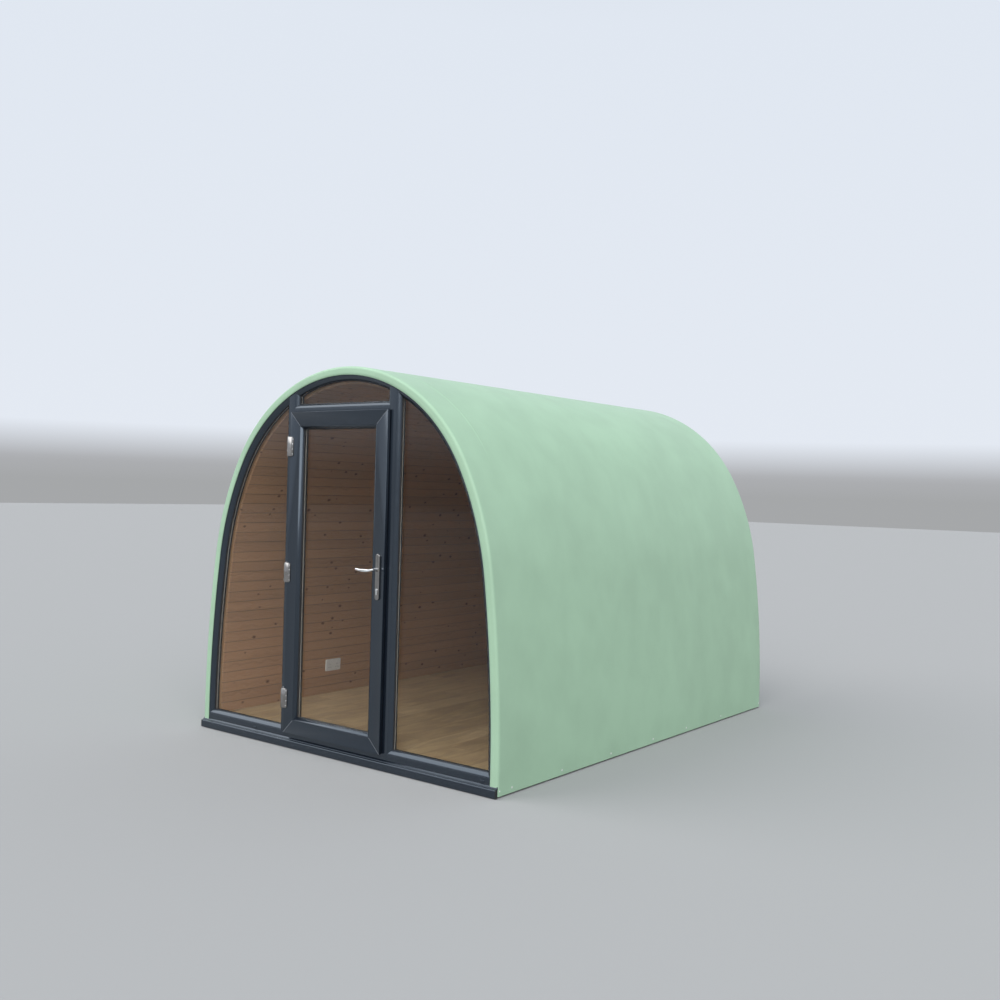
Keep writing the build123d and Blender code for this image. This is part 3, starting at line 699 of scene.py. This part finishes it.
def leaf_rings(outline, weld=0.0):
    """Four mitred bars round the leaf from one outline, in the order foot, head, hinge side and lock side."""
    width, height, inset = leaf_right - leaf_left, leaf_top - leaf_base, outline[:, 0]
    ways = ((width, lambda run, a, y: np.stack([leaf_left + run, y, leaf_base + a], -1)),
            (width, lambda run, a, y: np.stack([leaf_left + run, y, leaf_top - a], -1)),
            (height, lambda run, a, y: np.stack([leaf_left + a, y, leaf_base + run], -1)),
            (height, lambda run, a, y: np.stack([leaf_right - a, y, leaf_base + run], -1)))
    return [bar_rings(outline, inset, span - inset, place, weld) for span, place in ways]


leaf_names = ("door_bottom_rail", "door_top_rail", "hinge_stile", "lock_stile")
for name, rings in zip(leaf_names, leaf_rings(sash_outline, 0.5)):
    made = piece("leaf_" + name, [rings], "door", foil)
    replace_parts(made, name)
scraped, tree, shader = finish("weld_seam", (0.20, 0.215, 0.235), 0.35)
coated(tree, shader, shades(tree, clouds(tree, 150.0), ((0.3, (0.15, 0.165, 0.185)), (0.7, (0.25, 0.265, 0.285)))))
seam_run, seam_half = np.array([1.6, 2.2, leaf_face - 2.0, leaf_face - 1.4]), np.array([0.2, 0.8, 0.8, 0.2])
seam_depth = np.broadcast_to(front + leaf_front + np.array([-0.25, -0.25, 0.6, 0.6]), (4, 4))
seams = []
for corner_x, way_x in ((leaf_left, 1.0), (leaf_right, -1.0)):
    for corner_z, way_z in ((leaf_base, 1.0), (leaf_top, -1.0)):
        centre = np.stack([corner_x + way_x * seam_run, corner_z + way_z * seam_run], 1)
        across_seam = np.array([way_z, -way_x]) * seam_half[:, None]
        edges = np.stack([centre - across_seam, centre + across_seam], 1)
        flat = np.concatenate([edges, edges[:, ::-1]], 1)
        seams.append(np.stack([flat[..., 0], seam_depth, flat[..., 1]], -1))
piece("mitre_seams", seams, "door", scraped)

# The leaf's own glazing lines, and the seal that its lip presses on the frame.
for name, stuff, corners in (
        ("leaf_gaskets", black, [(sight - 4.0, -3.5, 0.0), (sight + 3.0, -1.7, 0.6), (sight + 4.0, -0.1, 0.0),
                                 (sight - 4.0, -0.1, 0.0)]),
        ("leaf_sealant", black, [(sight - 10.0, 4.1, 0.0), (sight - 1.5, 4.1, 0.0), (sight - 1.5, 15.5, 0.3),
                                 (sight - 10.0, 15.5, 0.0)]),
        ("leaf_beads", foil, [(sight - leaf_rebate, 28.2, 0.0), (sight, 28.2, 0.5), (sight - 1.0, 31.5, 1.0),
                              (sight - 12.0, 49.6, 1.5), (sight - leaf_rebate, 49.6, 0.5)]),
        ("lip_seals", black, [(1.5, 0.0, 0.0), (5.0, 0.0, 0.0), (4.4, 4.2, 1.0), (2.4, 4.2, 1.0)])):
    made = piece(name, leaf_rings(eased(corners)), "door", stuff)
    if name == "leaf_beads":
        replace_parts(made, "door_beads")

# Flag hinges. Three cast hinges in satin metal with bright screws, each with a knuckle and flag screwed to the leaf
# and a lower knuckle, pin and plate screwed to the frame. The lock's keep on the frame has the same satin finish.
satin, tree, shader = finish("satin_metal", (0.30, 0.29, 0.28), 0.14, metal=1.0)
brushed = clouds(tree, 60.0, (1.0, 1.0, 0.3), detail=4.0)
coated(tree, shader, shades(tree, brushed, ((0.3, (0.26, 0.25, 0.24)), (0.7, (0.33, 0.32, 0.31)))),
       spread(tree, brushed, 0.10, 0.18))
bright, tree, shader = finish("bright_metal", (0.80, 0.80, 0.80), 0.16, metal=1.0)
touched = clouds(tree, 35.0, detail=3.0)
coated(tree, shader, shades(tree, touched, ((0.3, (0.76, 0.76, 0.76)), (0.7, (0.85, 0.85, 0.85)))),
       spread(tree, touched, 0.10, 0.22))
dress("lock_keep", satin)
hinge_height, hinge_margin, knuckle_share, hinge_play = 127.0, 216.0, 0.4, 0.3
flag_width, flag_thickness, knuckle_radius, web = 34.0, 6.0, 7.0, 6.0
pin_x, pin_y, flag_x = leaf_left - 4.0, leaf_front - 11.0, leaf_left + 8.0
high, split = hinge_height / 2, hinge_height * (knuckle_share - 0.5)
hinge_levels = (leaf_base + hinge_margin, leaf_middle, leaf_top - hinge_margin)
hinge_places = np.array([(0.0, 0.0, level) for level in hinge_levels])


def pressed(x0, x1, z0, z1, back, thickness, radius, edge=1.2):
    """A plate that stands on a surface at the distance back behind the rim, facing the front."""
    rings = pad(x1 - x0, z1 - z0, radius, [0.0, 0.0, 0.3 * edge, edge],
                [0.0, thickness - edge, thickness - 0.3 * edge, thickness])
    return facing(rings, (x0 + x1) / 2, (z0 + z1) / 2, back)


def pillar(x, y, z0, z1, radius, edge=1.0, sides=28):
    """A round post with eased ends, standing at (x, y) from z0 to z1."""
    rings = turned([radius - edge, radius - 0.3 * edge, radius, radius, radius - 0.3 * edge, radius - edge],
                   [z0, z0 + 0.3 * edge, z0 + edge, z1 - edge, z1 - 0.3 * edge, z1], sides)
    return rings + np.array([x, front + y, 0.0])


# The upper knuckle and its flag are one casting: the outline goes round the pin and out along the leaf's face. The
# wedge below it fills the flag's lower half up to a hollow that clears the frame's knuckle.
flag_face, flag_run = leaf_front - pin_y, 22.0
knuckle_line = np.concatenate([knuckle_radius * heading(np.radians(np.linspace(300.0, 90.0, 18))),
                               [[flag_run, flag_face], [flag_run, flag_face - flag_thickness]]])
wedge_line = np.concatenate([(knuckle_radius + 0.7) * heading(np.radians(np.linspace(-57.2, 20.0, 10))),
                             [[8.5, 5.6], [flag_run, 5.6], [flag_run, flag_face - flag_thickness]]])
foot_level, top_level = split + hinge_play, high - 3.0
knuckle = stacked(np.stack([shrunk(knuckle_line, 0.7), knuckle_line, knuckle_line, shrunk(knuckle_line, 0.5),
                            shrunk(knuckle_line, 1.5)]) + [pin_x, front + pin_y],
                  [foot_level, foot_level + 0.7, top_level - 1.5, top_level - 0.5, top_level])
wedge = stacked(np.stack([shrunk(wedge_line, 0.5), wedge_line, wedge_line, wedge_line]) + [pin_x, front + pin_y],
                [3.4 - high, 4.0 - high, foot_level, foot_level + hinge_play])
flag = pressed(pin_x + knuckle_radius + 0.8, flag_x + flag_width - 8.0, 3.0 - high, high - 3.0, leaf_front,
               flag_thickness, [11.0, 1.0, 1.0, 11.0], 3.0)
made = piece("hinge_flags", copies(hinge_places, knuckle, wedge, flag), "door", satin)
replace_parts(made, "leaf_hinges")
lower_knuckle = pillar(pin_x, pin_y, 3.0 - high, split - hinge_play, knuckle_radius)
pin_head = pillar(pin_x, pin_y, high - 6.0, high - 0.2, 4.0)
root_web = pressed(pin_x - knuckle_radius, pin_x - knuckle_radius + web, 0.3 - high, split - hinge_play, frame_face,
                   frame_face - pin_y, 1.0)
root_plate = pressed(pin_x - flag_width, pin_x - knuckle_radius + web, -high, high, frame_face, 5.0,
                     [1.0, 8.0, 8.0, 1.0])
made = piece("hinge_roots", copies(hinge_places, lower_knuckle, pin_head, root_web, root_plate), "building", satin)
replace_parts(made, "frame_hinges")
screw_head = facing(pad(7.0, 7.0, 3.5, [0.0, 0.3, 0.8, 1.6], [-0.5, 0.3, 0.7, 0.9]), 0.0, 0.0, 0.0)
leaf_screws = np.array([[flag_x + 20.0, leaf_front - flag_thickness, up] for up in (-46.0, -16.0, 16.0, 46.0)])
screw_places = (hinge_places[:, None] + leaf_screws[None]).reshape(-1, 3)
piece("hinge_screws", copies(screw_places, screw_head), "door", bright)

# Handle. Long rounded back plates either side of the lock stile, sprung levers cast in one waved length, and the
# lock barrel that passes through both plates.
plate_height, plate_width, plate_thickness, plate_middle = 270.0, 32.0, 10.0, 1122.0
lever_level, lock_level, lever_reach = 1167.0, 1047.0, 40.0
handle_x, outside_face = leaf_right - leaf_face / 2, leaf_front - plate_thickness


def on_inside(rings):
    """The mirror image of a solid, on the leaf's inside face."""
    return rings * [1.0, -1.0, 1.0] + [0.0, 2 * front + leaf_front + leaf_back, 0.0]


def both_faces(rings, level, base):
    """A solid that stands on the leaf's outside face over the handle's line, and its mirror image inside."""
    outside = facing(rings, handle_x, level, base)
    return [outside, on_inside(outside)]


back_plate = pad(plate_width, plate_height, plate_width / 2 - 0.5, [0.0, 0.0, 0.5, 1.6, 3.2, 5.0],
                 [0.0, 5.6, 7.4, 9.0, 9.8, 10.0], 12)
made = piece("handle_back_plates", both_faces(back_plate, plate_middle, leaf_front), "door", satin)
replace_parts(made, "handle_plates")
barrel_face = turned([8.5, 8.5, 8.0, 6.6], [-8.0, 2.2, 2.9, 3.0], 30)
barrel_leg = pad(10.0, 30.0, 4.8, [0.0, 0.0, 0.6], [-8.0, 2.2, 2.8]) - np.array([0.0, 14.0, 0.0])
barrel = both_faces(barrel_face, lock_level, outside_face) + both_faces(barrel_leg, lock_level, outside_face)
made = piece("lock_barrel", barrel, "door", bright)
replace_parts(made, "lock_cylinder")
# The key slots are thin black pads on the barrels: painted shade standing in for the keyholes.
keyhole_shade = pad(1.8, 8.0, 0.8, [0.0, 0.0], [2.0, 3.1], 3)
piece("keyhole_shades", both_faces(keyhole_shade, lock_level, outside_face), "door", black)


def rounded_off(past):
    """1, falling to 0 along a quarter circle as past goes from 0 to 1."""
    return np.sqrt(1 - np.clip(past, 0, 1) ** 2)


# The lever is a squared oval carried along a waved line from just past its spindle to its tip. Its height swells in
# the middle, its depth thins towards the tip, and both round off at the two ends.
arm_start, arm_length, arm_sides = 6.0, 152.0, 24
share = np.linspace(0.0, 1.0, 34)
path_x = handle_x + arm_start - arm_length * share
path_y = outside_face - lever_reach + 8.0 * share ** 2
path_z = lever_level - 4.6 * share - 7.2 * np.sin(np.pi * share) - 1.6 * np.exp(-((share - 0.25) / 0.12) ** 2)
ends = np.clip(rounded_off((share - 0.955) / 0.045) * rounded_off((0.05 - share) / 0.05), 0.12, 1)
half_height = (6.6 + 2.4 * np.exp(-((share - 0.48) / 0.26) ** 2)) * ends
half_depth = (7.0 - 1.8 * share) * ends
circle = heading(np.linspace(0, 2 * np.pi, arm_sides, endpoint=False))
squared_y, squared_z = (np.sign(circle) * np.abs(circle) ** 0.8).T
arm = np.stack([np.repeat(path_x[:, None], arm_sides, 1), front + path_y[:, None] + half_depth[:, None] * squared_y,
                path_z[:, None] + half_height[:, None] * squared_z], -1)
neck_rise = [-6.0, 0.2, 1.2, 2.4, 6.0, 30.0, 37.0, 42.0, 45.0]
neck_radius = [8.9, 8.9, 8.9, 8.4, 7.4, 7.2, 7.2, 6.4, 3.5]
neck = facing(turned(neck_radius, neck_rise, 28), handle_x, lever_level, outside_face)
outer_lever = piece("lever_out", [arm, neck], "lever", bright)
inner_lever = piece("lever_in", [on_inside(arm), on_inside(neck)], "lever", bright)
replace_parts(outer_lever, "lever_outside")
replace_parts(inner_lever, "lever_inside")

# Lock faceplate. A steel strip let into the edge of the lock stile, with the latch and bolt slots.
edge_x, edge_y = leaf_right - leaf_core, (lip_back + leaf_back) / 2


def on_edge(rings, level):
    """Turns (across the edge, up, out of it) into the frame, on the lock stile's edge at a level."""
    return np.stack([edge_x + rings[..., 2], front + edge_y + rings[..., 0], level + rings[..., 1]], -1)


strip = pad(16.0, 1760.0, 4.0, [0.0, 0.0, 0.4], [-1.0, 1.6, 2.0])
piece("lock_faceplate", [on_edge(strip, leaf_middle)], "door", satin)
# The latch and bolt slots are thin black pads on the strip: painted shade standing in for the openings.
latch_slot_shade = pad(10.0, 34.0, 2.0, [0.0, 0.0], [1.0, 2.1], 3)
slot_levels = (350.0, lock_level, lever_level - 30.0, 1800.0)
piece("lock_slot_shades", [on_edge(latch_slot_shade, level) for level in slot_levels], "door", black)

# Glass. Sealed units of two clear 4 mm panes round a warm grey spacer bar. Lamp rays pass straight through, so the
# room behind is lit as by day.
glass, tree, shader = finish("clear_glass", (0.93, 0.94, 0.935), 0.0)
shader.inputs["Transmission Weight"].default_value = 1.0
shader.inputs["IOR"].default_value = 1.22
join(tree, spread(tree, clouds(tree, 3.0, detail=1.0), 0.0, 0.006), shader, "Roughness")
lamp_ray = (add(tree, "LightPath"), "Is Shadow Ray")
open_pane = add(tree, "BsdfTransparent", {"Color": (0.88, 0.89, 0.88, 1.0)})
both = add(tree, "MixShader", {}, {0: lamp_ray, 1: (shader, "BSDF"), 2: (open_pane, "BSDF")})
join(tree, (both, "Shader"), tree.nodes["Material Output"], "Surface")
dress("glass_left glass_right fanlight_glass door_glass", glass)
spacer, tree, shader = finish("warm_spacer", (0.20, 0.18, 0.16), 0.45)
coated(tree, shader, shades(tree, clouds(tree, 120.0), ((0.3, (0.17, 0.155, 0.14)), (0.7, (0.23, 0.21, 0.185)))))
dress("spacer_bars door_spacer", spacer)

# Floor, light and camera. A plain pale floor, an overcast sky that is brightest just above the horizon and dimmer
# overhead, two large soft lamps, and the camera at the photograph's place.
pale, shaded = (0.40, 0.40, 0.395), (0.10, 0.10, 0.09)
ground = bpy.data.meshes.new("studio_floor")
ground.from_pydata([(-60, -60, 0), (60, -60, 0), (60, 60, 0), (-60, 60, 0)], [], [(0, 1, 2, 3)])
floor, tree, shader = finish("studio_floor", pale, 0.9, shine=0.1)
seen = add(tree, "LightPath")
mirrored_too = maths(tree, "MAXIMUM", (seen, "Is Camera Ray"), (seen, "Is Glossy Ray"))
through_too = maths(tree, "MAXIMUM", mirrored_too, (seen, "Is Transmission Ray"))
floor_tone = add(tree, "Mix", {6: (*shaded, 1.0), 7: (*pale, 1.0)}, {0: through_too}, data_type="RGBA")
coated(tree, shader, (floor_tone, 2))
ground.materials.append(floor)
studio_floor = bpy.data.objects.new("studio_floor", ground)
bpy.context.scene.collection.objects.link(studio_floor)

world = bpy.data.worlds.new("soft_sky")
bpy.context.scene.world = world
world.use_nodes = True
tree = world.node_tree
direction = add(tree, "SeparateXYZ", {}, {"Vector": (add(tree, "TexCoord"), "Generated")})
sky = shades(tree, (direction, "Z"), ((0.0, (0.42, 0.43, 0.44)), (0.018, (0.46, 0.47, 0.49)),
                                      (0.050, (0.86, 0.91, 0.99)), (0.40, (0.83, 0.89, 0.98)),
                                      (0.85, (0.58, 0.63, 0.70))))
join(tree, sky, tree.nodes["Background"], "Color")
tree.nodes["Background"].inputs["Strength"].default_value = 0.90


def placing(right, up, back, spot):
    """A matrix from three axes and a position in metres."""
    turn = np.eye(4)
    turn[:3, 0], turn[:3, 1], turn[:3, 2], turn[:3, 3] = right, up, back, spot
    return Matrix(turn.tolist())


for name, energy, angle, source in (("soft_sun", 2.10, 60.0, (0.50, -0.72, 0.62)),
                                    ("side_glow", 1.10, 52.0, (-0.62, -0.40, 0.68))):
    lamp_data = bpy.data.lights.new(name, "SUN")
    lamp_data.energy, lamp_data.angle = energy, np.radians(angle)
    lamp = bpy.data.objects.new(name, lamp_data)
    bpy.context.scene.collection.objects.link(lamp)
    source = np.array(source) / np.linalg.norm(source)
    side_way = np.cross([0.0, 0.0, 1.0], source)
    side_way /= np.linalg.norm(side_way)
    lamp.matrix_world = placing(side_way, np.cross(source, side_way), source, source * 9.0)

camera_spot, yaw, pitch, roll = (4.6665, -6.2199, 1.6474), -0.6517194, -0.0092977, 0.0280065
forward = np.array([np.sin(yaw) * np.cos(pitch), np.cos(yaw) * np.cos(pitch), np.sin(pitch)])
level_right = np.array([np.cos(yaw), -np.sin(yaw), 0.0])
level_up = np.cross(level_right, forward)
right = np.cos(roll) * level_right + np.sin(roll) * level_up
upward = -np.sin(roll) * level_right + np.cos(roll) * level_up
camera_data = bpy.data.cameras.new("photo_camera")
camera_data.lens, camera_data.sensor_width = 38.447, 36.0
camera = bpy.data.objects.new("photo_camera", camera_data)
bpy.context.scene.collection.objects.link(camera)
camera.matrix_world = placing(right, upward, -forward, camera_spot)
bpy.context.scene.camera = camera
bpy.context.scene.view_settings.view_transform = "Standard"
